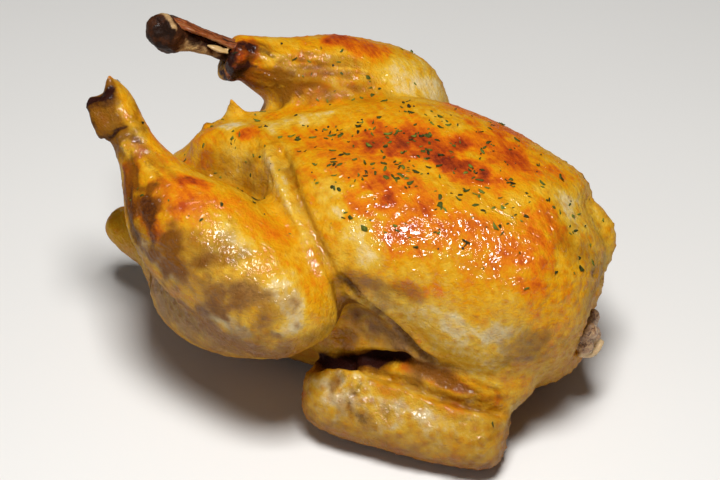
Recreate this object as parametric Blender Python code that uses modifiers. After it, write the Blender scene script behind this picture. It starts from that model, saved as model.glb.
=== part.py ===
"""Whole roast chicken lying on its back, breast up, with the legs raised towards the tail end.

X runs from the tail to the neck, -Y is the bird's left side and +Z is up. Lengths are in metres.
The bird is one solid: soft forms are fused, hollowed at the vent and the neck, and thinned out.
The bare shank bone of its right leg and the neck stump are solids of their own.
"""

import bpy
import bmesh
from mathutils import Matrix, Vector

MM = 0.001

# Fineness of the soft forms.
SKIN_VOXEL = 2.3 * MM
SKIN_KEPT = 0.108
BONE_VOXEL = 0.9 * MM
BONE_KEPT = 0.08
STUMP_KEPT = 0.6
SOFTENING = 0.5
BIRD_SOFTENED = 9
CUTS_SOFTENED = 2
BONE_SOFTENED = 3
RING_SIDES = 28
STEPS_BETWEEN_RINGS = 4

# Clearance between two solids that touch.
GAP = 0.35

# The middle of the base, in millimetres, in the frame that the tables below are written in.
BASE = (-6.0, 0.4, 1.5)
FLOOR_BLOCK = 400

# Rings of the torso's forms, in millimetres: x, y, z, half width, half height.
BACK = [
    (-101, 0, 40, 20, 14),
    (-90, 0, 40, 31, 23),
    (-70, 0, 41, 36, 34),
    (-40, 0, 45, 43, 45),
    (0, 0, 53, 49, 55),
    (35, 0, 55, 52, 57),
    (65, 0, 54, 48, 54),
    (86, 0, 50, 36, 39),
    (98, 0, 54, 19, 22),
]
BREAST = [
    (-52, 3, 102, 5, 5),
    (-42, 6, 101, 12, 13),
    (-27, 11, 98, 19, 20),
    (-13, 16, 95, 27, 25),
    (5, 19, 93, 37, 28),
    (22, 20, 92, 41, 30),
    (45, 19, 83, 39, 37),
    (70, 17, 68, 38, 44),
    (86, 13, 62, 32, 39),
    (96, 11, 62, 22, 29),
    (102, 8, 63, 11, 15),
    (104, 6, 63, 5, 7),
]
KEEL = [
    (-80, 0, 95, 5, 6),
    (-68, 0, 97, 11, 12),
    (-46, 0, 96, 17, 19),
    (-27, 0, 92, 24, 26),
    (-5, 0, 87, 32, 33),
    (25, 0, 83, 35, 39),
    (60, 0, 80, 36, 38),
]
FRONT = [
    (40, 0, 71, 52, 49),
    (70, 0, 68, 52, 48),
    (86, 0, 66, 47, 42),
    (96, 2, 65, 38, 34),
    (103, 4, 64, 25, 24),
    (107, 5, 63, 13, 13),
]
NECK_FLAP = [
    (96, 6, 62, 6, 6),
    (104, 14, 69, 6, 6),
    (106, 23, 78, 6, 6),
    (98, 29, 88, 5, 5),
]
BELLY = [
    (-93, 0, 66, 17, 15),
    (-82, 0, 69, 26, 22),
    (-55, 0, 70, 33, 31),
    (-20, 0, 68, 40, 40),
]
# The skin drawn up from the vent towards the right leg.
BELLY_FOLD = [
    (-86, 5, 80, 5, 5),
    (-80, 9, 87, 8, 8),
    (-66, 14, 94, 11, 11),
    (-48, 18, 97, 15, 14),
    (-30, 22, 98, 17, 14),
    (-14, 26, 96, 12, 12),
]
TAIL = [
    (-70, 0, 36, 26, 20),
    (-98, 0, 37, 16, 13),
    (-114, 0, 41, 13, 10.5),
    (-125, 0, 45, 8, 6),
]
# The fold of skin from the tip of the breast down over the knee.
WEB = [
    (-50, 0, 105, 4, 4),
    (-44, -3, 105, 7, 7),
    (-29, -21, 102, 8, 8),
    (-16, -36, 99, 9, 9),
    (-4, -49, 92, 9, 9),
    (2, -56, 82, 9, 9),
    (4, -57, 68, 8, 8),
]

# Along a limb: share of the way, radius in millimetres and how far the flesh hangs off the line.
THIGH = [
    (-0.32, 8, 0),
    (-0.18, 19, 0),
    (0.1, 27, 0),
    (0.45, 30, 0),
    (0.8, 28, 0),
    (1.1, 22, 0),
    (1.25, 8, 0),
]
LEFT_DRUMSTICK = [
    (-0.2, 6, 0),
    (-0.15, 16, 0),
    (-0.06, 23, 2),
    (0.08, 26.5, 5),
    (0.33, 27, 9),
    (0.5, 23, 11.5),
    (0.66, 14.5, 8),
    (0.76, 10, 5),
    (0.86, 8.4, 1.5),
    (0.93, 9.7, 0),
    (1.0, 9.8, 0),
    (1.05, 9.2, 0),
]
RIGHT_DRUMSTICK = [
    (-0.22, 6, 0),
    (-0.16, 16, 0),
    (-0.05, 25.5, 0),
    (0.11, 28, 0),
    (0.35, 24, 0),
    (0.52, 16.5, 0),
    (0.69, 10.5, 0),
    (0.76, 9, 0),
]
# Fills the bend behind the knee, where the calf lies against the thigh.
HAM = [
    (-0.3, 8, 0),
    (-0.1, 22, 0),
    (0.2, 26, 0),
    (0.6, 26, 0),
    (1.0, 21, 0),
    (1.25, 8, 0),
]
UPPER_WING = [(-0.12, 8, 0), (0, 14, 0), (0.3, 15, 0), (0.7, 13, 0), (1, 13, 0), (1.1, 6, 0)]
LOWER_WING = [
    (-0.2, 6, 0),
    (-0.13, 13, 0),
    (0.0, 16, 0),
    (0.25, 17, 0),
    (0.6, 17, 0),
    (0.9, 15.5, 0),
    (1.03, 12, 0),
]
SHANK_SHAFT = [(0.36, 4.6, 0), (0.6, 4.6, 0), (0.8, 4.8, 0), (0.9, 6, 0), (0.98, 7.5, 0)]
SHANK_BORE = [(0.34, 4.6, 0), (0.6, 4.6, 0), (0.8, 4.8, 0), (0.84, 5.5, 0)]

# Joints of the limbs: x, y, z in millimetres, and the way that the calf's flesh hangs.
LEFT_LEG = {"hip": (-66, -30, 45), "knee": (-10, -64, 78), "ankle": (-109, -23, 131)}
RIGHT_LEG = {"hip": (-66, 30, 45), "knee": (-5, 66, 90), "ankle": (-98, 22, 140)}
LEFT_WING = {"shoulder": (83, -36, 39), "elbow": (10, -58, 22), "wrist": (84.5, -56, 19)}
LEFT_CALF = (-0.54, -0.65, -0.54)
RIGHT_CALF = (-0.54, 0.65, -0.54)
EVEN = (0, 0, 0)

# Where the ham ends behind the knee, as shares of the hip, the knee and the ankle.
BEHIND_KNEE = (0.375, 0.375, 0.25)

# The two knuckles of the shank's bare end: x, y, z and radii along X, Y and Z in millimetres.
KNUCKLES = [(-98, 18, 142, 8.5, 7.5, 8), (-100, 25, 136, 8, 7.5, 8.5)]

# The neck stump: start, end and radii.
NECK_START = (84, 1, 46)
NECK_END = (112, -8, 45)
NECK = [(0, 8.5, 0), (0.5, 8.5, 0), (0.8, 9, 0), (0.95, 8, 0), (1.0, 5, 0)]
NECK_BORE = [(-0.02, 8.5, 0), (0.5, 8.5, 0), (0.8, 9, 0), (1.0, 10, 0)]

# Hollows: x, y, z, radii along X, Y and Z in millimetres, and the turn about X in radians.
VENT = (-98, 1, 68, 42, 17, 15, 0)
NECK_HOLLOW = (115, 3, 59, 15, 13, 16, 0)
ANKLE_NOTCH = (-114, -22, 136, 6, 16, 6, -0.7)

SKIN = (0.78, 0.45, 0.12, 1)
BONE = (0.32, 0.17, 0.11, 1)
NECK_MEAT = (0.55, 0.42, 0.34, 1)
GLOSSY = 0.35
MOIST = 0.5


def collection(name, shown=True):
    made = bpy.data.collections.new(name)
    made.hide_render = not shown
    bpy.context.scene.collection.children.link(made)
    return made


def mirrored(rows):
    """The same rows or points on the other side of the bird."""
    return [(row[0], -row[1], *row[2:]) for row in rows]


def catmull_rom(rows, steps):
    """Rows of numbers with smooth rows between them."""
    made = []
    last = len(rows) - 1
    for i in range(last):
        four = (rows[max(0, i - 1)], rows[i], rows[i + 1], rows[min(last, i + 2)])
        for step in range(steps):
            t = step / steps
            made.append([
                0.5 * (2 * b + (c - a) * t + (2 * a - 5 * b + 4 * c - d) * t**2
                       + (3 * b - a - 3 * c + d) * t**3)
                for a, b, c, d in zip(*four)
            ])
    made.append(list(rows[last]))
    return made


def add_object(name, mesh, into, base):
    """An object from a bmesh, hanging on the empty that stands at the middle of the base."""
    data = bpy.data.meshes.new(name)
    mesh.to_mesh(data)
    mesh.free()
    made = bpy.data.objects.new(name, data)
    made.parent = base
    made.hide_render = into.hide_render
    if made.hide_render:
        made.display_type = "WIRE"
    into.objects.link(made)
    return made


def add_loft(mesh, rings):
    """A closed skin over elliptical rings: x, y, z, half width, half height in millimetres."""
    rows = catmull_rom(rings, STEPS_BETWEEN_RINGS)
    centres = [Vector(row[:3]) * MM for row in rows]
    loops = []
    for i, row in enumerate(rows):
        along = (centres[min(i + 1, len(rows) - 1)] - centres[max(i - 1, 0)]).normalized()
        across = Vector((0, 0, 1)).cross(along).normalized()
        place = Matrix((across, along.cross(across), along)).transposed().to_4x4()
        place.translation = centres[i]
        size = Matrix.Diagonal((row[3] * MM, row[4] * MM, 1, 1))
        at_end = i in (0, len(rows) - 1)
        ring = bmesh.ops.create_circle(
            mesh, segments=RING_SIDES, radius=1, cap_ends=at_end, matrix=place @ size
        )
        loops.append(list({edge for vert in ring["verts"] for edge in vert.link_edges}))
    for one, two in zip(loops, loops[1:]):
        bmesh.ops.bridge_loops(mesh, edges=one + two)
    bmesh.ops.recalc_face_normals(mesh, faces=mesh.faces)


def add_limb(mesh, start, end, shares, hang=EVEN, wider=0):
    """A loft along a limb, whose flesh hangs off the line from start to end in one direction."""
    a, b, hang = Vector(start), Vector(end), Vector(hang)
    add_loft(mesh, [
        (*(a + (b - a) * share + hang * off), radius + wider, radius + wider)
        for share, radius, off in shares
    ])


def add_ball(mesh, x, y, z, rx, ry, rz, turn=0):
    place = Matrix.Translation(Vector((x, y, z)) * MM) @ Matrix.Rotation(turn, 4, "X")
    size = Matrix.Diagonal((rx * MM, ry * MM, rz * MM, 1))
    bmesh.ops.create_uvsphere(
        mesh, u_segments=RING_SIDES, v_segments=RING_SIDES // 2, radius=1, matrix=place @ size
    )


def add_torso(mesh):
    for rings in (BACK, BREAST, KEEL, FRONT, NECK_FLAP, BELLY, BELLY_FOLD, TAIL, WEB):
        add_loft(mesh, rings)
    for rings in (BREAST, WEB):
        add_loft(mesh, mirrored(rings))


def add_leg(mesh, joints, drumstick, calf):
    hip, knee, ankle = (Vector(joints[name]) for name in ("hip", "knee", "ankle"))
    add_limb(mesh, hip, knee, THIGH)
    add_limb(mesh, knee, ankle, drumstick, calf)
    behind_knee = hip * BEHIND_KNEE[0] + knee * BEHIND_KNEE[1] + ankle * BEHIND_KNEE[2]
    add_limb(mesh, knee, behind_knee, HAM, calf)


def add_wing(mesh, shoulder, elbow, wrist):
    add_limb(mesh, shoulder, elbow, UPPER_WING)
    add_limb(mesh, elbow, wrist, LOWER_WING)


def fuse(thing, voxel, smoothing):
    remesh = thing.modifiers.new("fuse", "REMESH")
    remesh.mode = "VOXEL"
    remesh.voxel_size = voxel
    smooth = thing.modifiers.new("soften", "SMOOTH")
    smooth.factor = SOFTENING
    smooth.iterations = smoothing


def thin_out(thing, kept):
    thin = thing.modifiers.new("thin_out", "DECIMATE")
    thin.ratio = kept


def cut(thing, cutter):
    away = thing.modifiers.new("cut_" + cutter.name, "BOOLEAN")
    away.operation = "DIFFERENCE"
    away.object = cutter


def finish(thing, colour, roughness):
    """Gives the object a material of its own and smooth shading."""
    material = bpy.data.materials.new(thing.name)
    material.use_nodes = True
    surface = material.node_tree.nodes["Principled BSDF"]
    surface.inputs["Base Color"].default_value = colour
    surface.inputs["Roughness"].default_value = roughness
    surface.inputs["Metallic"].default_value = 0
    thing.data.materials.append(material)
    thing.data.shade_smooth()


def build_cutters(into, base):
    """The hollows, the two bores and the block below the floor, by name."""
    cutters = {}
    for name, ball in (("vent", VENT), ("neck_hollow", NECK_HOLLOW), ("ankle_notch", ANKLE_NOTCH)):
        mesh = bmesh.new()
        add_ball(mesh, *ball)
        cutters[name] = add_object(name, mesh, into, base)
    mesh = bmesh.new()
    add_limb(mesh, RIGHT_LEG["knee"], RIGHT_LEG["ankle"], SHANK_BORE, wider=GAP)
    cutters["shank_bore"] = add_object("shank_bore", mesh, into, base)
    mesh = bmesh.new()
    add_limb(mesh, NECK_START, NECK_END, NECK_BORE, wider=GAP)
    cutters["neck_bore"] = add_object("neck_bore", mesh, into, base)
    mesh = bmesh.new()
    below = Matrix.Translation(Vector((0, 0, BASE[2] - FLOOR_BLOCK / 2)) * MM)
    bmesh.ops.create_cube(mesh, size=FLOOR_BLOCK * MM, matrix=below)
    cutters["floor"] = add_object("floor", mesh, into, base)
    return cutters


def build_bird(into, base, cutters):
    mesh = bmesh.new()
    add_torso(mesh)
    add_leg(mesh, LEFT_LEG, LEFT_DRUMSTICK, LEFT_CALF)
    add_leg(mesh, RIGHT_LEG, RIGHT_DRUMSTICK, RIGHT_CALF)
    wing = (LEFT_WING["shoulder"], LEFT_WING["elbow"], LEFT_WING["wrist"])
    add_wing(mesh, *wing)
    add_wing(mesh, *mirrored(wing))
    bird = add_object("bird", mesh, into, base)
    fuse(bird, SKIN_VOXEL, BIRD_SOFTENED)
    for name in ("vent", "neck_hollow", "ankle_notch"):
        cut(bird, cutters[name])
    fuse(bird, SKIN_VOXEL, CUTS_SOFTENED)
    thin_out(bird, SKIN_KEPT)
    for name in ("shank_bore", "neck_bore", "floor"):
        cut(bird, cutters[name])
    finish(bird, SKIN, GLOSSY)


def build_shank_bone(into, base):
    mesh = bmesh.new()
    add_limb(mesh, RIGHT_LEG["knee"], RIGHT_LEG["ankle"], SHANK_SHAFT)
    for knuckle in KNUCKLES:
        add_ball(mesh, *knuckle)
    bone = add_object("shank_bone", mesh, into, base)
    fuse(bone, BONE_VOXEL, BONE_SOFTENED)
    thin_out(bone, BONE_KEPT)
    finish(bone, BONE, MOIST)


def build_neck_stump(into, base):
    mesh = bmesh.new()
    add_limb(mesh, NECK_START, NECK_END, NECK)
    stump = add_object("neck_stump", mesh, into, base)
    thin_out(stump, STUMP_KEPT)
    finish(stump, NECK_MEAT, MOIST)


def main():
    for old in list(bpy.data.objects):
        bpy.data.objects.remove(old)
    parts = collection("roast_chicken")
    helpers = collection("cutters", shown=False)
    base = bpy.data.objects.new("base_middle", None)
    base.location = -Vector(BASE) * MM
    parts.objects.link(base)
    build_bird(parts, base, build_cutters(helpers, base))
    build_shank_bone(parts, base)
    build_neck_stump(parts, base)


if __name__ == "__main__":
    main()
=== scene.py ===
"""Roast chicken: a glazed whole bird with browned skin, a bare shank, a neck stump and herbs.

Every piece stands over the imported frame, whose X runs from the tail to the neck, whose -Y is the
bird's left side and whose Z is up. Shapes are written in millimetres in that frame.
"""

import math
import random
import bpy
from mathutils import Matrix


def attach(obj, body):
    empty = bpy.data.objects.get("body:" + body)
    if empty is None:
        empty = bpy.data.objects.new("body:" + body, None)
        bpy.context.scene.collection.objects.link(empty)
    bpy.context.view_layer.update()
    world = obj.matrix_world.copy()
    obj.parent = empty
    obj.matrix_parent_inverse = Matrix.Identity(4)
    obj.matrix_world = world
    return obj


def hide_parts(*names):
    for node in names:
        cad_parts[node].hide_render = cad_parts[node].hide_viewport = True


bl_info = {
    "name": "Roast Chicken",
    "version": (1, 0, 0),
    "blender": (4, 5, 0),
    "location": "View3D > Sidebar > Roast Chicken",
    "description": "Builds a glazed roast chicken with herbs over its packed frame",
    "category": "Object",
}

import bmesh
import bpy
import numpy as np
from bpy.props import FloatProperty, FloatVectorProperty, IntProperty, PointerProperty
from mathutils import Matrix, Vector, noise
from mathutils.bvhtree import BVHTree
from mathutils.kdtree import KDTree

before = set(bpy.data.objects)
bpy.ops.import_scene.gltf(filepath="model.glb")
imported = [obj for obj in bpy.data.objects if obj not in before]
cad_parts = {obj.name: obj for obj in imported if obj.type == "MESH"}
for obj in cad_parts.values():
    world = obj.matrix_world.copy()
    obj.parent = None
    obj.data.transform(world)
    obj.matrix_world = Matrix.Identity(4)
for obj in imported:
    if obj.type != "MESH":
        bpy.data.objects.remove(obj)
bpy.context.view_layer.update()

MM = 0.001


def linear(hex_colour):
    """A linear colour from an sRGB hex value."""
    parts = [int(hex_colour[i:i + 2], 16) / 255 for i in (1, 3, 5)]
    return [p / 12.92 if p <= 0.04045 else ((p + 0.055) / 1.055) ** 2.4 for p in parts]


def colour_property(name, hex_colour, description):
    return FloatVectorProperty(
        name=name, description=description, subtype="COLOR", min=0, max=1,
        default=linear(hex_colour),
    )


def length_property(name, millimetres, description):
    return FloatProperty(
        name=name, description=description, unit="LENGTH", default=millimetres * MM
    )


# ---------------------------------------------------------------- sizes and colours


class SkinSettings(bpy.types.PropertyGroup):
    grain: length_property("Grain", 1.36, "Spacing of the skin's points")
    unevenness: length_property("Unevenness", 0.55, "Height of the broad swells of the flesh")
    crinkle: length_property("Crinkle", 0.13, "Height of the fine crinkles of the roasted skin")
    goosebump: length_property("Goosebump", 0.4, "Height of the bumps where feathers grew")
    follicles: length_property("Follicles", 4.2, "Distance between those bumps")
    pale: colour_property("Pale", "#d9c492", "Skin that barely took colour")
    yellow: colour_property("Yellow", "#d8ab32", "Fat shining through the skin")
    golden: colour_property("Golden", "#d29306", "Golden skin")
    orange: colour_property("Orange", "#d47103", "Well roasted skin")
    deep: colour_property("Deep", "#b44608", "Deep orange skin")
    mahogany: colour_property("Mahogany", "#70200b", "Skin that is nearly burnt")
    scorched: colour_property("Scorched", "#2c0f08", "Burnt edges")
    # thin skin over dark meat, and painted shade low on the bird
    dull_and_shade: colour_property("Dull", "#a0743a", "Thin skin over dark meat")
    dull_dark: colour_property("Dark Meat", "#6c4a24", "Dark meat seen through the skin")
    # roasting juices, and painted shade in the folds and underneath
    juice_and_shade: colour_property("Juice", "#714004", "Roasting juices caught in the folds and underneath")


class ShankSettings(bpy.types.PropertyGroup):
    grain: length_property("Grain", 0.6, "Spacing of the bone's points")
    bone: colour_property("Bone", "#b08d60", "Cleanest part of the bare bone")
    browned: colour_property("Browned Bone", "#4c2812", "Bone browned in the oven")
    burnt: colour_property("Burnt", "#24130a", "Burnt gristle at the joint")
    tendon: colour_property("Tendon", "#8c4417", "Dried tendons")
    sliver: colour_property("Sliver", "#cfae74", "The clean tendon")


class NeckSettings(bpy.types.PropertyGroup):
    grain: length_property("Grain", 0.7, "Spacing of the stump's points")
    meat: colour_property("Meat", "#ab8360", "Cooked neck meat")
    shade: colour_property("Shade", "#46281b", "Dark parts of the neck meat")
    fat: colour_property("Fat", "#d6b787", "Fat and skin on the neck")


class HerbSettings(bpy.types.PropertyGroup):
    flakes: IntProperty(name="Flakes", description="Number of herb flakes", default=400, min=0)
    grains: IntProperty(name="Grains", description="Number of pepper grains", default=36, min=0)
    longest: length_property("Longest", 4.5, "Length of the longest flake")
    leaf: colour_property("Leaf", "#6c7626", "Freshest flakes")
    dried: colour_property("Dried", "#3c4113", "Dried flakes")
    toasted: colour_property("Toasted", "#241a0d", "Toasted flakes and pepper")


class StageSettings(bpy.types.PropertyGroup):
    floor: colour_property("Floor", "#eceae6", "Pale plain floor")
    key: FloatProperty(
        name="Key", description="Power of the soft light above", default=14.0, unit="POWER"
    )
    fill: FloatProperty(
        name="Fill", description="Power of the light beside the camera", default=1.2, unit="POWER"
    )
    sky: FloatProperty(name="Sky", description="Brightness of the room", default=0.05)
    lens: FloatProperty(name="Lens", description="Focal length", default=112.0, unit="CAMERA")


# ---------------------------------------------------------------- shapes

# The pointed scrap of skin at the vent: x, y, z and radii of its rings.
VENT_SCRAP = [
    (-60, 18, 100, 2.4, 5.4),
    (-60.5, 18, 105, 1.8, 4.2),
    (-61.5, 18, 109, 1.4, 2.6),
    (-62.5, 18, 112, 1.0, 0.9),
]
# The rolled, burnt edge of skin where the right leg's bone comes out.
COLLAR = [
    (-62.5, 32, 132, 1.4, 1.6),
    (-62, 29, 130.5, 3.4, 2.4),
    (-61.5, 26.5, 127.5, 2.4, 2.6),
    (-62, 25.5, 124.5, 3.8, 3.0),
    (-63.5, 25, 120.5, 2.6, 2.4),
    (-65.5, 26.5, 117.5, 3.2, 2.4),
]
# The two corners of skin that stand up where the left foot was cut off.
ANKLE_CORNERS = [
    [(-97, -23, 130, 4.5, 2.6), (-99.5, -22.5, 135.5, 3.4, 1.8), (-100.8, -22.5, 139, 1.3, 0.9)],
    [(-101, -31, 127, 3.5, 2.5), (-107, -30.5, 130, 2.6, 1.9), (-110, -30.5, 131, 1.4, 1.2)],
]
# The loose skin below the lower of them.
ANKLE_SWELL = [
    (-105.5, -31, 130, 2.4, 2.4),
    (-103, -33, 127.2, 3.6, 3.6),
    (-100.4, -35, 124.7, 4.2, 4.2),
    (-97.2, -36.8, 121.9, 3.8, 3.8),
    (-94.1, -37.5, 119.8, 2.4, 2.4),
]


def both_sides(strokes):
    """Strokes on the bird's left side, and again on its right."""
    return strokes + [([(x, -y, z) for x, y, z in path], *rest) for path, *rest in strokes]


# Lines pressed into the skin: path, half width and depth in millimetres.
CREASES = both_sides([
    # under the breast, from the knee to the wing
    ([(20, -61, 91), (28, -59, 82), (35, -57, 74), (43, -54, 65), (51, -52, 55),
      (58, -52, 50)], 1.5, 4.6),
    # the pocket between the wing and the side
    ([(-6, -59, 37), (8, -56, 37), (20, -54, 38)], 3.4, 7.0),
    ([(10, -55, 39), (22, -54, 41), (34, -52, 43.5), (45, -51, 46)], 3.0, 6.5),
    ([(22, -56, 38), (43, -57, 38), (59, -59, 37), (75, -59, 35), (88, -56, 32),
      (97, -54, 30)], 1.8, 4.0),
    # folds where the upper wing meets the breast
    ([(44, -52, 50), (56, -53, 46), (68, -55, 44), (80, -56, 42)], 1.3, 1.2),
    ([(84, -52, 46), (88, -50, 54), (94, -46, 62)], 1.6, 0.8),
    # between the drumstick and its thigh
    ([(-90, -34, 70), (-85, -36, 64), (-80, -42, 57), (-74, -46, 50)], 1.6, 2.6),
    # at the elbow
    ([(24, -60, 37), (21, -64, 35), (22, -68, 32), (27, -71, 29), (33, -74, 25)], 1.1, 1.9),
    ([(29, -62, 37), (27, -66, 35), (30, -70, 31), (36, -73, 27)], 1.0, 1.3),
    ([(17, -62, 36), (16, -67, 33), (19, -72, 28)], 1.0, 1.0),
]) + [
    # the valley between the web and the breast, down to the knee
    ([(-26, -14, 114), (-19, -23, 113), (-12, -34, 111), (-4, -43, 107), (3, -51, 103),
      (10, -57, 98),
      (16, -60, 91), (20, -62, 82), (21, -63, 72), (19, -66, 60)], 2.0, 2.8),
    # the cut end of the left ankle, and the hole beside its bone
    ([(-108, -30, 132), (-104.5, -30, 134), (-101, -28, 136)], 1.9, 2.4),
    ([(-98, -26.5, 137), (-98.3, -26, 137.5)], 1.2, 2.4),
    # round the left ankle
    ([(-94, -39, 119), (-92, -38, 123), (-90, -37, 125), (-88, -36, 126),
      (-85, -38, 124)], 1.0, 2.0),
    ([(-84, -38, 124), (-80, -40, 123), (-77, -40, 122)], 0.9, 1.0),
    # along the left shin
    ([(-87, -43, 118), (-82, -48, 116), (-77, -56, 112), (-73, -63, 107),
      (-70, -70, 99)], 1.0, 1.3),
    ([(-84, -43, 120), (-79, -50, 117), (-74, -57, 113), (-70, -64, 109)], 0.9, 1.1),
    ([(-90, -43, 113), (-84, -49, 111), (-79, -58, 106), (-76, -64, 99)], 1.1, 1.2),
    ([(-86, -42, 119), (-80, -49, 117), (-75, -56, 114), (-71, -64, 108)], 0.8, 0.9),
    ([(-68, -60, 114), (-63, -66, 111), (-58, -71, 107)], 1.0, 0.9),
    ([(-70, -66, 108), (-64, -72, 104), (-60, -77, 98)], 1.1, 0.9),
    ([(-80, -46, 120), (-75, -52, 118), (-69, -60, 114)], 0.9, 0.8),
    # wrinkles of the drumstick's top
    ([(-76, -44, 121), (-66, -46, 119), (-57, -45, 118)], 1.0, 0.8),
    ([(-72, -50, 119), (-63, -52, 118), (-54, -55, 116)], 1.1, 0.8),
    ([(-60, -58, 113), (-50, -62, 112), (-38, -64, 110)], 1.2, 0.6),
    # below the vent's lip on the left
    ([(-70, -16, 93), (-55, -18, 95), (-41, -22, 95), (-28, -31, 97)], 2.2, 1.6),
    # the pit beside the neck's opening
    ([(110, -15, 84), (113.5, -13, 82.5), (116, -9, 81)], 1.5, 2.4),
    # on the belly
    ([(-47, -6, 111), (-45, -11, 109), (-38, -14, 108)], 0.6, 0.4),
    # wrinkles running out from the right leg's rim
    ([(-60, 30, 131), (-53, 33, 130), (-46, 33, 127), (-38, 33, 124)], 1.1, 1.1),
    ([(-59, 27.5, 127), (-52, 29, 125), (-45, 30, 121)], 1.0, 1.0),
    ([(-60, 34, 133), (-53, 37, 132), (-45, 38, 129)], 1.1, 0.9),
    ([(-40, 36, 126), (-32, 40, 126), (-24, 42, 125)], 1.6, 0.8),
    ([(-34, 34, 123), (-26, 38, 123), (-18, 41, 122)], 1.5, 0.7),
    ([(-46, 28, 117), (-36, 31, 114), (-28, 33, 113)], 1.5, 0.9),
    # beside the right leg
    ([(-20, 34, 106), (0, 38, 104), (18, 44, 100)], 2.6, 2.6),
]
# Lines of skin that stand up: path, half width and height in millimetres.
RIDGES = both_sides([
    # the breast's lower edge
    ([(23, -64, 93), (32, -61, 83), (39, -59, 76), (47, -56, 67), (55, -54, 58),
      (66, -55, 50)], 1.9, 1.6),
    # the wing's upper edge
    ([(14, -61, 36), (26, -62, 36), (42, -62, 36), (60, -63, 35), (76, -63, 33),
      (90, -60, 31)], 2.4, 1.8),
]) + [
    # the web from the tip of the breast to the knee
    ([(-38, -4, 112), (-29, -18, 111), (-22, -27, 109.5), (-14, -37, 107.5), (-6, -46, 104.5),
      (2, -54, 100.5), (8, -60, 95.5), (13, -64, 89), (15, -67, 76)], 2.3, 2.2),
    # the outer rim of the left ankle
    ([(-108, -32.5, 129), (-103, -33.5, 130.5), (-99, -31, 133.5), (-96.5, -28, 136)], 1.1, 0.8),
    # small folds in the hollow between leg and belly
    ([(-26, -26, 106), (-24, -31, 103), (-25, -36, 101)], 1.2, 1.1),
    ([(-22, -30, 107), (-18, -35, 105), (-16, -40, 104)], 1.2, 0.9),
    # the lip of the vent
    ([(-77, 3, 90), (-73, 12, 95), (-68, 16, 100), (-58, 20, 106), (-46, 22, 110)], 1.6, 1.0),
]
# Rolled rims of skin round the bare shank: middle, a point further along the axis, radius and
# thickness.
ROLLED_RIMS = [
    ((-67.5, 32, 121.3), (-92, 21.6, 138.5), 6.4, 2.7),
    ((-65.5, 33, 120.5), (-92, 21.6, 138.5), 7.4, 2.2),
]


# Beside a crease the flesh rises: share of its depth, and how many half widths away.
CREASE_LIP = 0.22
LIP_AWAY = 2.2
# Sizes of the skin's unevenness in millimetres.
SWELLS = 22
BUMPY_PATCHES = 26
LUMPS = 7
LONG_CRINKLES = 6
FINE_CRINKLES = 3.4
WRINKLE_WIDTH = 5
BUMP_RADIUS = 1.25

# Crinkles run along the breast muscle: lengths along X - Y are squeezed before the noise is read.
GRAIN_OF_MEAT = np.array([(0.65, 0.35, 0.0), (0.35, 0.65, 0.0), (0.0, 0.0, 1.0)])

# Bundles of fine wrinkles: path, radius, height in millimetres and the way they run.
WRINKLED = both_sides([
    # in the hollow under the breast
    ([(20, -56, 76), (30, -54, 60)], 10, 0.3, (12, 3, -20)),
    # where the upper wing runs under the breast
    ([(46, -54, 46), (84, -54, 40)], 9, 0.5, (20, -2, -3)),
]) + [
    # down the left shin
    ([(-94, -39, 120), (-86, -47, 115), (-77, -59, 108), (-70, -70, 98)], 10, 1.1, (20, -27, -19)),
    # on the left ankle
    ([(-106, -30, 131), (-96, -36, 124)], 10, 0.5, (12, -10, -10)),
    # on top of the left drumstick
    ([(-80, -44, 121), (-62, -50, 118)], 11, 0.35, (20, -14, -4)),
    # running out from the right leg's rim
    ([(-62, 29, 127), (-46, 32, 122)], 12, 0.9, (20, 5, -6)),
    ([(-40, 36, 124), (-14, 42, 120)], 14, 0.45, (20, 8, -4)),
    # the web beside the left leg
    ([(-24, -22, 110), (-8, -40, 106)], 8, 0.2, (16, -22, -6)),
    # at the left elbow
    ([(20, -66, 34), (30, -71, 28)], 7, 0.6, (6, -8, -12)),
]

# The bumpiest skin on the left: along the forewing and under the thigh.
FOREWING = [(16, -58, 22), (90, -56, 20)]
UNDER_THIGH = [(-50, -76, 60), (-10, -84, 62)]

# Hollows: middle, radius, and how far its skin moves along X, Y and Z.
DENTS = [
    # the cut end of the left ankle
    ((-105, -28, 134), 5.0, (1.6, 0.4, -1.2)),
    # between the belly and the left leg
    ((-46, -17, 97), 15, (0.6, 1.6, -2.8)),
    ((-30, -30, 101), 9, (0.3, 2.0, -2.8)),
    # the notch between the belly and the right leg
    ((-48, 25, 108), 12, (4.5, 0.5, -1.0)),
    # the neck's opening
    ((115, -3, 52), 7, (-5, 0, 1)),
]
# Points of skin drawn out, in the same way.
PULLS = [
    ((-110, -31, 131), 3.6, (-0.4, -0.2, 0.6)),
    ((-100.8, -22.5, 139), 4.0, (-0.4, 0.2, 1.6)),
    ((-80, -2, 92), 3.2, (-1.6, 0.4, 1.2)),
    ((-72, 12, 98), 3.2, (-1.6, 1.0, 1.6)),
    ((94, -60, 33), 5.0, (3.6, -1.2, 2.6)),
    ((26, -65, 35), 3.6, (0.2, -1.2, 1.6)),
    ((16, -66, 36), 4.0, (-0.6, -0.8, 1.2)),
    ((42, -74, 24), 7.0, (0.0, -1.4, -0.4)),
    ((66, -73, 20), 8.0, (0.0, 1.6, 0.6)),
    ((118, 8, 82), 5.0, (1.6, 1.0, 1.6)),
    ((118, -8, 70), 4.0, (1.4, -1.0, 0.6)),
]


def catmull_rom(rows, steps=6):
    """Rows of numbers with smooth rows between them."""
    rows = np.array(rows, float)
    last = len(rows) - 1
    made = []
    for i in range(last):
        a, b, c, d = rows[max(0, i - 1)], rows[i], rows[i + 1], rows[min(last, i + 2)]
        for t in np.arange(steps) / steps:
            made.append(0.5 * (2 * b + (c - a) * t + (2 * a - 5 * b + 4 * c - d) * t**2
                               + (3 * b - a - 3 * c + d) * t**3))
    made.append(rows[last])
    return np.array(made)


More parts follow.
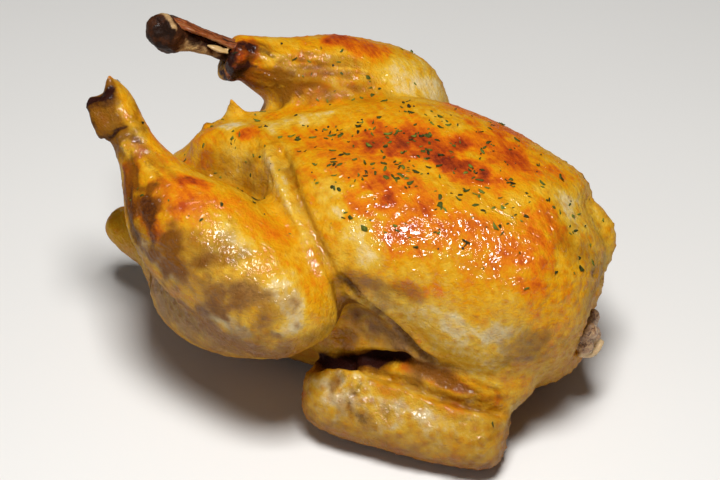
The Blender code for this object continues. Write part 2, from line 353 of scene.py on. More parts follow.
def add_loft(mesh, rings, sides=20, steps=4):
    """A closed skin over elliptical rings: x, y, z, half width and half height."""
    rows = catmull_rom(rings, steps)
    loops = []
    for i, row in enumerate(rows):
        ahead = rows[min(i + 1, len(rows) - 1)][:3] - rows[max(i - 1, 0)][:3]
        along = Vector(ahead).normalized()
        side = Vector((0, 0, 1)) if abs(along.z) < 0.9 else Vector((1, 0, 0))
        across = side.cross(along).normalized()
        place = Matrix((across, along.cross(across), along)).transposed().to_4x4()
        place.translation = Vector(row[:3]) * MM
        size = Matrix.Diagonal((row[3] * MM, row[4] * MM, 1, 1))
        ring = bmesh.ops.create_circle(
            mesh, segments=sides, radius=1, cap_ends=i in (0, len(rows) - 1), matrix=place @ size
        )
        loops.append(list({edge for vert in ring["verts"] for edge in vert.link_edges}))
    for one, two in zip(loops, loops[1:]):
        bmesh.ops.bridge_loops(mesh, edges=one + two)
    bmesh.ops.recalc_face_normals(mesh, faces=mesh.faces)


def add_roll(mesh, middle, end, radius, thickness, rng):
    """A rolled rim of skin round an axis, thicker in some places than in others."""
    axis = (Vector(end) - Vector(middle)).normalized()
    across = axis.cross(Vector((0, 0, 1))).normalized()
    up = across.cross(axis)
    count = 14
    turns = [2 * math.pi * i / count for i in range(count + 2)]
    rings = []
    for turn in turns:
        reach = radius * rng.uniform(0.92, 1.08)
        thick = thickness * rng.uniform(0.75, 1.25)
        place = Vector(middle) + (across * math.cos(turn) + up * math.sin(turn)) * reach
        rings.append((*(place + axis * rng.uniform(-1, 1)), thick, thick))
    add_loft(mesh, rings, sides=10, steps=3)


def add_ball(mesh, x, y, z, rx, ry, rz):
    place = Matrix.Translation(Vector((x, y, z)) * MM)
    size = Matrix.Diagonal((rx * MM, ry * MM, rz * MM, 1))
    bmesh.ops.create_uvsphere(mesh, u_segments=24, v_segments=14, radius=1, matrix=place @ size)


def add_piece(name, mesh, material, slot, *nodes):
    """An object from a bmesh that rides on the frame and stands for the CAD nodes given."""
    data = bpy.data.meshes.new(name)
    mesh.to_mesh(data)
    mesh.free()
    data.materials.append(material)
    data.shade_smooth()
    piece = bpy.data.objects.new(name, data)
    bpy.context.scene.collection.objects.link(piece)
    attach(piece, "root")
    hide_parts(*nodes)
    return piece


def fuse(piece, grain, rounds):
    """Melts a piece's overlapping forms into one even mesh and smooths it."""
    remesh = piece.modifiers.new("fuse", "REMESH")
    remesh.mode = "VOXEL"
    remesh.voxel_size = grain
    remesh.use_smooth_shade = True
    smooth = piece.modifiers.new("soften", "SMOOTH")
    smooth.factor = 0.5
    smooth.iterations = rounds
    graph = bpy.context.evaluated_depsgraph_get()
    melted = bpy.data.meshes.new_from_object(piece.evaluated_get(graph))
    old = piece.data
    piece.modifiers.clear()
    piece.data = melted
    melted.name = piece.name
    if not melted.materials:
        melted.materials.append(old.materials[0])
    bpy.data.meshes.remove(old)


def points_of(data):
    """A mesh's points in millimetres."""
    points = np.empty(len(data.vertices) * 3)
    data.vertices.foreach_get("co", points)
    return points.reshape(-1, 3) / MM


def normals_of(data):
    normals = np.empty(len(data.vertices) * 3, np.float32)
    data.vertex_normals.foreach_get("vector", normals)
    return normals.reshape(-1, 3).astype(float)


def move_out(data, amount):
    """Moves each point out along its normal by its amount in millimetres."""
    points = points_of(data) + normals_of(data) * amount[:, None]
    data.vertices.foreach_set("co", (points * MM).ravel())
    data.update()


def draw(data, moves):
    """Moves the skin round each spot, most at its middle."""
    points = points_of(data)
    for spot, radius, shift in moves:
        near = np.clip(1 - np.linalg.norm(points - np.array(spot, float), axis=1) / radius, 0, 1)
        points += (near * near * (3 - 2 * near))[:, None] * np.array(shift, float)
    data.vertices.foreach_set("co", (points * MM).ravel())
    data.update()


def soften(data, rounds, share=0.5):
    """Evens out a mesh by moving each point towards the middle of its neighbours."""
    mesh = bmesh.new()
    mesh.from_mesh(data)
    for _ in range(rounds):
        bmesh.ops.smooth_vert(
            mesh, verts=mesh.verts, factor=share, use_axis_x=True, use_axis_y=True, use_axis_z=True
        )
    mesh.to_mesh(data)
    mesh.free()


def distance_to(points, path):
    """Each point's distance to a smooth path, in millimetres."""
    path = catmull_rom(path, 5) if len(path) > 1 else np.array([path[0], path[0]], float)
    best = np.full(len(points), np.inf)
    for start, end in zip(path, path[1:]):
        step = end - start
        share = np.clip((points - start) @ step / max(step @ step, 1e-9), 0, 1)
        gap = np.linalg.norm(points - start - share[:, None] * step, axis=1)
        best = np.minimum(best, gap)
    return best


def cloud(points, size, seed=0, octaves=2):
    """Soft noise of about -1 to 1 whose features are size millimetres apart."""
    shift = Vector((seed * 13.7, seed * 7.1, seed * 3.3))
    return np.array([
        noise.fractal(Vector(p) / size + shift, 1.0, 2.0, octaves) for p in points
    ])


def strands(points, along, size, seed):
    """Noise drawn out along a direction, for wrinkles and fibres."""
    along = np.array(along, float) / np.linalg.norm(along)
    return cloud(points - 0.82 * (points @ along)[:, None] * along, size, seed)


def on_the_left(points):
    """The points of the bird's right half carried over to its left, for what both halves share."""
    return points * np.where(points[:, 1:2] > 0, (1, -1, 1), 1)


def smooth_step(values, low, high):
    t = np.clip((values - low) / (high - low), 0, 1)
    return t * t * (3 - 2 * t)


def store(data, name, values):
    """Keeps one number for each point, which the material reads."""
    layer = data.attributes.new(name, "FLOAT", "POINT")
    layer.data.foreach_set("value", np.clip(values, 0, 1).astype(np.float32))


def painted(points, strokes, wobble):
    """The sum of soft strokes: path, radius and amount. wobble makes their edges uneven."""
    total = np.zeros(len(points))
    for path, radius, amount in strokes:
        near = distance_to(points, path) / radius + 0.65 * wobble
        total += amount * (1 - smooth_step(near, 0.25, 1.25))
    return total


def at_most(values, limit):
    """Values that level off softly below the limit."""
    return limit * np.tanh(values / limit)


# ---------------------------------------------------------------- materials


def feed(tree, node, inputs):
    """Gives a node's sockets their values, or the outputs that feed them."""
    for socket, value in inputs.items():
        if isinstance(value, bpy.types.NodeSocket):
            tree.links.new(value, node.inputs[socket])
        else:
            node.inputs[socket].default_value = value


def add_node(tree, kind, inputs=None, stops=(), out=0, **settings):
    """Adds a shader node and gives its output out. stops are a ramp's places and colours."""
    node = tree.nodes.new("ShaderNode" + kind)
    for name, value in settings.items():
        setattr(node, name, value)
    feed(tree, node, inputs or {})
    if stops:
        ramp = node.color_ramp.elements
        while len(ramp) < len(stops):
            ramp.new(1)
        for element, (place, colour) in zip(ramp, stops):
            element.position = place
            element.color = (*colour, 1)
    return node.outputs[out]


def swing(tree, pattern, reach):
    """A pattern of 0 to 1 as a number that swings by reach to either side of 0."""
    return add_node(tree, "Math", {0: pattern, 1: 2 * reach, 2: -reach}, operation="MULTIPLY_ADD")


def attributes(tree, *names):
    """The numbers kept on a piece's points."""
    return [add_node(tree, "Attribute", out="Fac", attribute_name=name) for name in names]


def new_material(name):
    """An empty material: its tree, its Principled surface and where each point of it lies."""
    material = bpy.data.materials.new(name)
    material.use_nodes = True
    tree = material.node_tree
    return material, tree, tree.nodes["Principled BSDF"], add_node(tree, "TexCoord", out="Object")


def per_metre(millimetres):
    """A texture's scale from the size of its features."""
    return 1 / (millimetres * MM)


def glazed_skin(s):
    """Roasted chicken skin basted with its own fat: amber film over mottled, crinkled skin."""
    material, tree, surface, place = new_material("basted_roast_skin")
    # the roasting, thin-skin and juice amounts also carry painted shade in the folds and towards
    # the bottom; the scorching amount carries painted shadow in the pockets and creases
    roast_and_shade, dull_and_shade, burnt, goose, basted, juice_and_shade = attributes(
        tree, "roast_and_shade", "dull_and_shade", "burnt", "follicle", "basted", "juice_and_shade"
    )

    # mottling of 7 mm patches and 1.6 mm flecks, and 2.4 mm streaks along the breast muscle
    patches = add_node(tree, "TexNoise", {
        "Vector": place, "Scale": per_metre(7), "Detail": 3.0, "Roughness": 0.6,
    })
    flecks = add_node(tree, "TexNoise", {
        "Vector": place, "Scale": per_metre(1.6), "Detail": 4.0, "Roughness": 0.65,
    })
    along = add_node(tree, "Mapping", {
        "Vector": place, "Rotation": (0, 0, math.radians(-42)), "Scale": (5, 1, 1.6),
    }, vector_type="TEXTURE")
    streaks = add_node(tree, "TexNoise", {
        "Vector": along, "Scale": per_metre(2.4), "Detail": 3.0, "Roughness": 0.6,
    })
    level = roast_and_shade
    for pattern, reach in ((patches, 0.17), (flecks, 0.11), (streaks, 0.18)):
        level = add_node(tree, "Math", {0: level, 1: swing(tree, pattern, reach)}, operation="ADD")
    roast_and_shade_colour = add_node(tree, "ValToRGB", {"Fac": level}, stops=[
        (0.05, s.pale), (0.25, s.yellow), (0.42, s.golden), (0.58, s.orange),
        (0.74, s.deep), (0.9, s.mahogany), (1.0, s.scorched),
    ])

    # thin skin over dark meat shows streaky fibres, and the same browns are painted shade low on
    # the bird
    fibres = add_node(tree, "TexNoise", {
        "Vector": place, "Scale": per_metre(3.2),
        "Detail": 5.0, "Roughness": 0.7, "Distortion": 0.6,
    })
    meat = add_node(tree, "ValToRGB", {"Fac": fibres}, stops=[(0.28, s.dull_dark), (0.66, s.dull_and_shade)])
    colour = add_node(tree, "Mix", {0: dull_and_shade, 6: roast_and_shade_colour, 7: meat}, out=2, data_type="RGBA")

    # bumps where feathers grew are yellower and a little darker
    pores = add_node(tree, "Math", {0: goose, 1: 0.45}, operation="MULTIPLY")
    colour = add_node(
        tree, "Mix", {0: pores, 6: colour, 7: (*s.golden, 1)},
        out=2, data_type="RGBA", blend_type="MULTIPLY",
    )

    # juices and painted shade brown the folds and the underside, and scorching, with painted shadow
    # in the wing's pockets and the deepest creases, creeps in along the flecks
    for amount, pattern, reach, limits, stain in (
        (juice_and_shade, patches, 0.15, {"From Min": 0.0, "From Max": 0.9, "To Max": 0.9}, s.juice_and_shade),
        (burnt, flecks, 0.35, {"From Min": 0.2, "From Max": 0.75}, s.scorched),
    ):
        uneven = add_node(
            tree, "Math", {0: amount, 1: swing(tree, pattern, reach)}, operation="ADD"
        )
        share = add_node(tree, "MapRange", {"Value": uneven, **limits})
        colour = add_node(
            tree, "Mix", {0: share, 6: colour, 7: (*stain, 1)}, out=2, data_type="RGBA"
        )

    # crinkles of 4.2 mm break the shine into glints, and pimples of 1.1 mm roughen the skin below
    crinkle = add_node(tree, "TexNoise", {
        "Vector": place, "Scale": per_metre(4.2),
        "Detail": 2.0, "Roughness": 0.45, "Distortion": 1.2,
    })
    pimple = add_node(tree, "TexNoise", {
        "Vector": place, "Scale": per_metre(1.1), "Detail": 2.0, "Distortion": 0.8,
    })
    rough = add_node(tree, "Math", {0: pimple, 1: 0.7, 2: crinkle}, operation="MULTIPLY_ADD")
    # drops of fat about 1 mm wide, 2.6 mm apart, that each catch the light
    cells = add_node(tree, "TexVoronoi", {"Vector": place, "Scale": per_metre(2.6)})
    drops = add_node(tree, "MapRange", {
        "Value": cells, "From Min": 0.02, "From Max": 0.2, "To Min": 1.0, "To Max": 0.0,
    }, interpolation_type="SMOOTHSTEP")
    beaded = add_node(tree, "Math", {0: drops, 1: 0.3, 2: crinkle}, operation="MULTIPLY_ADD")

    # the film lies in patches, and has run thin on the steep sides, which leaves them duller
    wet = add_node(tree, "MapRange", {
        "Value": patches, "From Min": 0.4, "From Max": 0.6, "To Min": 0.45, "To Max": 1.0,
    })
    facing = add_node(tree, "LayerWeight", {"Blend": 0.35}, out="Facing")
    film = add_node(tree, "MapRange", {
        "Value": facing, "From Min": 0.2, "From Max": 0.9, "To Min": 1.0, "To Max": 0.3,
    })
    for share in (wet, basted):
        film = add_node(tree, "Math", {0: share, 1: film}, operation="MULTIPLY")
    feed(tree, surface, {
        "Base Color": colour,
        "Roughness": 0.6,
        "Specular IOR Level": 0.08,
        "Subsurface Weight": 0.08,
        "Subsurface Radius": (1.8, 0.9, 0.35),
        "Subsurface Scale": 1.0 * MM,
        "Coat Weight": film,
        "Coat Roughness": 0.035,
        "Coat IOR": 1.6,
        "Normal": add_node(tree, "Bump", {
            "Height": rough, "Strength": 0.8, "Distance": 0.9 * MM,
        }),
        "Coat Normal": add_node(tree, "Bump", {
            "Height": beaded, "Strength": 1.0, "Distance": 1.3 * MM,
        }),
    })
    return material


def burnt_bone(s):
    """Bare leg bone, cleaned and browned in the oven, with burnt gristle on its joint."""
    material, tree, surface, place = new_material("oven_browned_bone")
    burnt, clean = attributes(tree, "burnt", "clean")
    stain = add_node(tree, "TexNoise", {
        "Vector": place, "Scale": per_metre(4), "Detail": 4.0, "Roughness": 0.65,
    })
    pits = add_node(tree, "TexNoise", {"Vector": place, "Scale": per_metre(0.9), "Detail": 3.0})
    tone = add_node(tree, "Math", {0: stain, 1: 0.7, 2: clean}, operation="MULTIPLY_ADD")
    bone = add_node(tree, "ValToRGB", {"Fac": tone}, stops=[
        (0.36, s.burnt), (0.56, s.browned), (0.92, s.bone), (1.0, s.sliver),
    ])
    char = add_node(tree, "Math", {0: pits, 1: 0.5, 2: burnt}, operation="MULTIPLY_ADD")
    level = add_node(tree, "MapRange", {"Value": char, "From Min": 0.45, "From Max": 1.05})
    feed(tree, surface, {
        "Base Color": add_node(
            tree, "Mix", {0: level, 6: bone, 7: (*s.burnt, 1)}, out=2, data_type="RGBA"
        ),
        "Roughness": 0.55,
        "Specular IOR Level": 0.12,
        "Coat Weight": 0.06,
        "Coat Roughness": 0.15,
        "Normal": add_node(tree, "Bump", {
            "Height": pits, "Strength": 0.8, "Distance": 0.8 * MM,
        }),
    })
    return material


def dried_tendon(s):
    """Tendons and skin shrunk onto the bone: leathery, stringy and amber at the edges."""
    material, tree, surface, place = new_material("dried_tendon")
    clean, = attributes(tree, "clean")
    along = add_node(tree, "Mapping", {
        "Vector": place, "Rotation": (0, math.radians(22), math.radians(23)), "Scale": (8, 1, 1),
    }, vector_type="TEXTURE")
    strings = add_node(tree, "TexNoise", {
        "Vector": along, "Scale": per_metre(1.5), "Detail": 4.0, "Roughness": 0.7,
    })
    brown = add_node(tree, "ValToRGB", {"Fac": strings}, stops=[
        (0.34, s.burnt), (0.5, s.tendon), (0.8, s.bone),
    ])
    feed(tree, surface, {
        "Base Color": add_node(
            tree, "Mix", {0: clean, 6: brown, 7: (*s.sliver, 1)}, out=2, data_type="RGBA"
        ),
        "Roughness": 0.38,
        "IOR": 1.45,
        "Coat Weight": 0.5,
        "Coat Roughness": 0.2,
        "Normal": add_node(tree, "Bump", {
            "Height": strings, "Strength": 0.7, "Distance": 0.6 * MM,
        }),
    })
    return material


def neck_meat(s):
    """Poached neck meat: greyish pink, moist and fibrous, with paler fat."""
    material, tree, surface, place = new_material("moist_neck_meat")
    fat, = attributes(tree, "clean")
    fibre = add_node(tree, "TexNoise", {
        "Vector": place, "Scale": per_metre(1.8),
        "Detail": 3.0, "Roughness": 0.6, "Distortion": 1.0,
    })
    flesh = add_node(tree, "ValToRGB", {"Fac": fibre}, stops=[
        (0.3, s.shade), (0.48, s.meat), (0.72, s.fat),
    ])
    feed(tree, surface, {
        "Base Color": add_node(
            tree, "Mix", {0: fat, 6: flesh, 7: (*s.fat, 1)}, out=2, data_type="RGBA"
        ),
        "Roughness": 0.45,
        "IOR": 1.4,
        "Subsurface Weight": 0.1,
        "Subsurface Radius": (2.0, 0.8, 0.5),
        "Subsurface Scale": 1.0 * MM,
        "Coat Weight": 0.25,
        "Coat Roughness": 0.12,
        "Normal": add_node(tree, "Bump", {
            "Height": fibre, "Strength": 0.6, "Distance": 0.6 * MM,
        }),
    })
    return material


def rubbed_leaf(s):
    """Dried parsley rubbed to flakes: matt, veined, from grey green to toasted brown."""
    material, tree, surface, place = new_material("rubbed_dried_herb")
    tone, = attributes(tree, "tone")
    veins = add_node(tree, "TexNoise", {"Vector": place, "Scale": per_metre(0.8), "Detail": 3.0})
    mixed = add_node(tree, "Math", {0: veins, 1: 0.3, 2: tone}, operation="MULTIPLY_ADD")
    feed(tree, surface, {
        "Base Color": add_node(tree, "ValToRGB", {"Fac": mixed}, stops=[
            (0.15, s.toasted), (0.45, s.dried), (0.95, s.leaf),
        ]),
        "Roughness": 0.75,
        "Specular IOR Level": 0.2,
        "Normal": add_node(tree, "Bump", {
            "Height": veins, "Strength": 0.5, "Distance": 0.2 * MM,
        }),
    })
    return material


def cracked_pepper(s):
    """Cracked black pepper: near black with brown fractures and a faint oily shine."""
    material, tree, surface, place = new_material("cracked_pepper")
    chips = add_node(tree, "TexNoise", {"Vector": place, "Scale": per_metre(0.6), "Detail": 2.0})
    feed(tree, surface, {
        "Base Color": add_node(tree, "ValToRGB", {"Fac": chips}, stops=[
            (0.4, linear("#0e0805")), (0.7, s.toasted),
        ]),
        "Roughness": 0.45,
    })
    return material


def studio_floor(s):
    """Matt paper backdrop with the faintest unevenness."""
    material, tree, surface, place = new_material("matt_backdrop_paper")
    cloudy = add_node(tree, "TexNoise", {"Vector": place, "Scale": per_metre(400), "Detail": 2.0})
    feed(tree, surface, {
        "Base Color": add_node(tree, "ValToRGB", {"Fac": cloudy}, stops=[
            (0.3, [c * 0.97 for c in s.floor]), (0.7, s.floor),
        ]),
        "Roughness": 0.9,
    })
    return material


# ---------------------------------------------------------------- pieces

# How roasted the skin is where nothing is painted, and the most that strokes add or take away.
EVEN_ROAST = 0.36
MOST_BROWNED = 0.42
MOST_PALE = 0.4
EVENLY_BASTED = 0.45

# Where the skin took colour: path, radius in millimetres and amount.
BROWNED = [
    ([(17, 2, 119), (30, 5, 119), (42, 4, 119)], 15, 0.34),
    ([(24, 5, 120), (31, 6, 119)], 6, 0.22),
    ([(50, -3, 118), (58, -5, 118)], 9, 0.36),
    ([(52, 18, 117), (64, 18, 115), (76, 14, 113)], 9, 0.26),
    ([(66, -8, 115), (74, -6, 114)], 7, 0.14),
    ([(90, 18, 107)], 6, 0.24),
    ([(92, -9, 108), (98, -14, 103)], 9, 0.14),
    ([(-12, -6, 116), (4, -10, 118), (20, -22, 118)], 15, 0.16),
    ([(15, -38, 116), (24, -42, 114)], 6, 0.2),
    ([(28, -30, 116), (44, -30, 116)], 9, 0.12),
    ([(28, -46, 112), (50, -46, 111), (70, -42, 108), (86, -32, 104)], 17, 0.13),
    ([(38, -50, 110), (46, -54, 104)], 6, 0.1),
    ([(44, -60, 92), (51, -58, 89), (58, -57, 91)], 5, 0.18),
    ([(91, -22, 107), (101, -27, 99)], 3.5, 0.16),
    ([(94, -40, 93), (99, -41, 89)], 6, 0.13),
    ([(84, -34, 104), (96, -34, 99)], 8, 0.08),
    ([(-62, 29, 130), (-63, 25, 120)], 7, 0.6),
    ([(-60, -58, 114), (-50, -66, 109)], 9, 0.08),
    ([(-46, -2, 112)], 6, 0.34),
    ([(-54, -52, 117), (-46, -50, 117)], 4.5, 0.3),
    ([(-58, -56, 116), (-44, -56, 116), (-26, -58, 112)], 12, 0.08),
    ([(38, -63, 36), (60, -63, 35), (78, -61, 33)], 3.5, 0.2),
    ([(46, -53, 43), (66, -54, 41), (86, -54, 37)], 6, 0.22),
    ([(-82, -50, 115), (-72, -66, 105)], 6, 0.4),
    ([(-66, -66, 109), (-58, -74, 103)], 6, 0.4),
    ([(-60, -10, 98)], 8, 0.12),
    ([(-26, 58, 125), (-8, 60, 124)], 9, 0.34),
    ([(-60, 27, 124), (-50, 28, 121)], 7, 0.1),
    ([(40, 45, 112), (60, 42, 108)], 16, 0.2),
    ([(-40, 62, 116), (-20, 72, 108)], 12, 0.2),
]
# Where it stayed pale, and painted highlights along the web's lit ridge and on a spot of the belly.
PALE_AND_HIGHLIGHTS = [
    ([(-36, 6, 114), (-20, 13, 116)], 8, 0.34),
    ([(4, -35, 116), (10, -38, 115)], 6, 0.2),
    ([(13, -44, 112)], 5, 0.3),
    ([(23, -51, 110), (30, -57, 103)], 7, 0.38),
    ([(50, -58, 80), (64, -57, 79)], 7, 0.12),
    ([(70, -56, 76), (82, -53, 74)], 8, 0.26),
    ([(99, 4, 105), (104, -4, 101)], 8, 0.3),
    ([(108, 14, 96), (112, 19, 84), (116, 10, 78)], 11, 0.14),
    ([(-92, -34, 124), (-84, -38, 124)], 6, 0.16),
    ([(-86, -42, 119), (-79, -50, 116), (-75, -57, 112)], 1.5, 0.3),
    ([(80, -21, 111)], 5, 0.24),
    # a painted highlight along the lit ridge of the web
    ([(-32, -14, 112), (-14, -37, 108), (2, -54, 101)], 3.4, 0.14),
    ([(-2, -78, 98), (5, -82, 88), (4, -84, 80)], 7, 0.32),
    ([(-28, -88, 80), (-14, -90, 75)], 6, 0.34),
    ([(-60, -76, 96), (-48, -82, 92)], 6, 0.34),
    ([(-30, -68, 111), (-20, -72, 108)], 6, 0.2),
    # a pale spot on the belly, partly a painted highlight
    ([(-58, 4, 107), (-52, 4, 109)], 5, 0.5),
    ([(4, 54, 115), (22, 64, 104)], 13, 0.34),
    ([(90, -46, 70), (70, -56, 60)], 14, 0.16),
    ([(30, -70, 32), (60, -66, 32), (84, -60, 30)], 16, 0.18),
    ([(10, -68, 33), (14, -71, 26)], 8, 0.2),
]
# Where thin skin lies over dark meat.
THIN = [
    ([(-50, -79, 99), (-38, -84, 95), (-26, -87, 90)], 12, 0.62),
    ([(-26, -84, 96), (-12, -87, 92)], 11, 0.42),
    ([(-56, -79, 94), (-44, -84, 91)], 6, 0.35),
    ([(-14, -87, 93), (-6, -88, 88), (2, -86, 86)], 10, 0.5),
    ([(-30, -88, 84), (-16, -90, 81)], 5, 0.3),
    ([(30, -56, 66), (44, -54, 54), (62, -52, 46)], 9, 0.4),
    ([(-66, -58, 60), (-40, -77, 58), (-10, -84, 60)], 24, 0.75),
    ([(28, -61, 90), (36, -60, 86)], 8, 0.55),
    ([(20, -60, 70), (36, -55, 60), (50, -52, 48)], 13, 0.6),
    ([(26, -70, 30), (34, -74, 26)], 6, 0.5),
    ([(-44, 84, 98), (-20, 90, 80)], 18, 0.5),
    ([(-60, 60, 60), (-20, 80, 58)], 26, 0.6),
]
# Where dark juices gathered, and painted shade in the folds, the creases, the hollows and the
# wing's pockets.
JUICES_AND_SHADE = both_sides([
    # painted shade between the knee and the breast, in the breast's fold and in the wing's pocket
    ([(16, -61, 86), (20, -58, 77), (21, -54, 62), (20, -50, 48)], 6.5, 0.75),
    ([(24, -61, 88), (35, -57, 75), (43, -54, 65), (52, -52, 56)], 2.0, 0.9),
    ([(6, -54, 36), (22, -53, 40), (36, -52, 43)], 7, 1.0),
    ([(48, -52, 44), (60, -53, 43), (76, -55, 40), (90, -54, 36)], 4, 0.4),
    ([(40, -57, 38), (59, -59, 37), (75, -59, 35), (90, -56, 32)], 1.6, 0.5),
]) + [
    ([(-108, -30, 131), (-100, -33, 127), (-95, -34, 125)], 13, 0.9),
    ([(-106, -35, 126), (-103.5, -37, 123), (-99.5, -39, 120.5), (-95, -40, 118)], 7, 0.9),
    ([(-108, -30, 132), (-104, -27, 134), (-99, -24, 137)], 3.6, 0.6),
    ([(-93, -38, 121), (-89, -37, 125)], 2.4, 0.5),
    ([(-88, -43, 118), (-78, -53, 114), (-74, -62, 108), (-71, -71, 97)], 5.5, 0.75),
    ([(-82, -40, 122), (-78, -42, 121)], 5, 0.3),
    ([(-68, -62, 113), (-62, -68, 109)], 5, 0.5),
    ([(-76, -60, 109), (-64, -70, 104), (-52, -78, 98)], 10, 0.65),
    ([(-62, -60, 112), (-56, -68, 108)], 7, 0.25),
    ([(-42, -80, 102), (-28, -78, 104)], 12, 0.55),
    ([(-74, -70, 92), (-66, -76, 80), (-60, -74, 66)], 12, 0.38),
    ([(-48, -80, 92), (-30, -86, 86)], 12, 0.2),
    ([(-40, -82, 68), (-20, -86, 66), (10, -84, 62)], 16, 0.4),
    ([(-34, -84, 94), (-24, -87, 90)], 9, 0.25),
    ([(-12, -88, 88), (-2, -88, 85)], 9, 0.25),
    ([(-30, -8, 112), (-20, -20, 112), (-12, -28, 112)], 6, 0.25),
    ([(24, -54, 72), (34, -52, 58), (42, -51, 50)], 10, 0.12),
    ([(-60, -12, 96), (-41, -19, 96), (-27, -31, 99)], 11, 0.45),
    ([(-22, -22, 109), (-12, -32, 107)], 5, 0.2),
    ([(-40, -14, 109), (-30, -26, 107)], 4, 0.2),
    ([(-19, -23, 113), (-4, -43, 107), (10, -57, 98), (16, -60, 91)], 2.2, 0.4),
    ([(-62, 27, 119), (-50, 27, 117), (-43, 28, 114)], 8, 0.8),
    ([(-60, 30, 131), (-52, 33, 130)], 5, 0.5),
    ([(-40, 31, 120), (-28, 33, 120), (-16, 34, 116), (0, 40, 111)], 9, 0.32),
    ([(-34, 32, 110), (-20, 34, 107)], 9, 0.4),
    ([(-38, 32, 121), (-28, 34, 122)], 8, 0.25),
    ([(-20, 34, 106), (0, 38, 104), (18, 44, 100)], 4, 0.4),
    ([(22, -60, 93), (32, -59, 91), (50, -58, 89)], 5.5, 0.6),
    ([(102, -14, 99), (110, -12, 93), (116, -7, 82), (116, -18, 76)], 9, 0.4),
    ([(88, -50, 72), (102, -42, 64)], 12, 0.25),
    ([(110, 18, 86), (116, 8, 76)], 8, 0.22),
    ([(110, -12, 46), (113, 2, 52)], 6, 0.6),
    ([(110, -15, 84), (114, -13, 82)], 2.6, 0.8),
    ([(100, -44, 68), (92, -50, 62)], 9, 0.42),
]
# Where the basting fat lies thickest.
BASTED = [
    ([(10, -20, 117), (46, -34, 114), (70, -34, 110)], 34, 0.6),
    ([(-30, -18, 111), (-14, -38, 107), (8, -58, 97), (14, -64, 88)], 7, 0.5),
    ([(-104, -33, 128), (-94, -36, 124)], 12, -0.3),
    ([(-84, -44, 118), (-60, -54, 116)], 10, 0.25),
    ([(-50, 30, 119), (-10, 36, 114)], 18, -0.25),
    ([(108, 14, 96), (116, 10, 78)], 14, -0.3),
    ([(-63, 29, 131), (-63, 24, 121)], 6, 0.25),
    ([(4, -52, 36), (24, -53, 39), (45, -52, 45)], 6, -0.9),
    ([(48, -53, 44), (86, -54, 38)], 7, -0.3),
    ([(-82, -48, 117), (-72, -66, 105)], 6, -0.2),
]
# Where it scorched, and painted shadow in the wing's pockets, along the breast's fold, in the
# deepest creases, in the ankle's recess and round the neck's opening.
SCORCHED_AND_SHADE = both_sides([
    # painted shade along the breast's fold, and painted shadow in the wing's pocket
    ([(22, -60, 89), (35, -57, 74), (43, -54, 65), (50, -52, 57)], 1.2, 0.5),
    ([(4, -52, 35), (14, -52, 36), (24, -52, 39), (35, -52, 42.5), (46, -51, 46.5)], 4.2, 1.1),
]) + [
    # painted shade in the creases round the left ankle
    ([(-94, -39, 119), (-92, -38, 123), (-90, -37, 125), (-88, -36, 126)], 1.0, 0.7),
    ([(-84, -38, 124), (-78, -40, 122)], 1.0, 0.4),
    ([(-77, -57, 112), (-72, -65, 106), (-68, -71, 98)], 3.2, 0.5),
    ([(-66, -64, 111), (-61, -70, 106), (-58, -75, 101)], 4.5, 0.55),
    ([(-64, -58, 114), (-60, -60, 113)], 1.6, 0.5),
    ([(-72, -48, 119), (-64, -54, 117)], 3, 0.35),
    ([(-54, -50, 118), (-48, -48, 118)], 2, 0.5),
    ([(27, 6, 120)], 2, 0.7),
    ([(-69, 31, 122.5)], 9.5, 0.66),
    ([(-63, 30, 132), (-63, 26, 128), (-64, 24, 121), (-67, 26, 116)], 5.2, 0.72),
    # painted shade in the wrinkles running out from the right leg's rim
    ([(-58, 32, 131.5), (-52, 33.5, 130), (-47, 33, 127.5)], 1.6, 0.5),
    ([(-59, 27, 126), (-53, 28, 124)], 1.3, 0.5),
    ([(-64, 23, 122), (-63, 27, 114)], 2.2, 0.6),
    # painted shade in the ankle's recess and the hole beside its bone, with browned skin round them
    ([(-107, -30, 132), (-104, -30, 134), (-101, -28.5, 135.5)], 3.0, 0.7),
    ([(-108, -31.5, 129), (-103.5, -32.5, 131), (-99.5, -30.5, 134)], 4.4, 0.55),
    ([(-106, -35.5, 125.5), (-102, -38.5, 121), (-97, -40, 118)], 4.5, 0.55),
    ([(-98, -26.5, 137)], 1.7, 1.0),
    # dark marks in the elbow's creases, partly painted shade
    ([(21, -63, 36), (23, -66, 33), (28, -70, 29), (33, -73, 26)], 3.0, 0.42),
    ([(29, -63, 36), (28, -67, 33)], 2.0, 0.35),
    ([(111, -8, 42), (113, -4, 51)], 3, 0.5),
    ([(-76, 8, 92), (-68, 16, 100)], 2.2, 0.4),
    ([(-46, -2, 113)], 2, 0.35),
]


def scatter_follicles(points, spacing, rng):
    """Indices of points that stand about spacing apart, like feathers on a bird."""
    cell = spacing / math.sqrt(3)
    taken = {}
    chosen = []
    for index in rng.permutation(len(points)):
        point = points[index]
        key = tuple((point // cell).astype(int))
        near = (
            other
            for dx in (-2, -1, 0, 1, 2) for dy in (-2, -1, 0, 1, 2) for dz in (-2, -1, 0, 1, 2)
            for other in taken.get((key[0] + dx, key[1] + dy, key[2] + dz), ())
        )
        if all(((other - point) ** 2).sum() > spacing**2 for other in near):
            taken.setdefault(key, []).append(point)
            chosen.append(index)
    return chosen


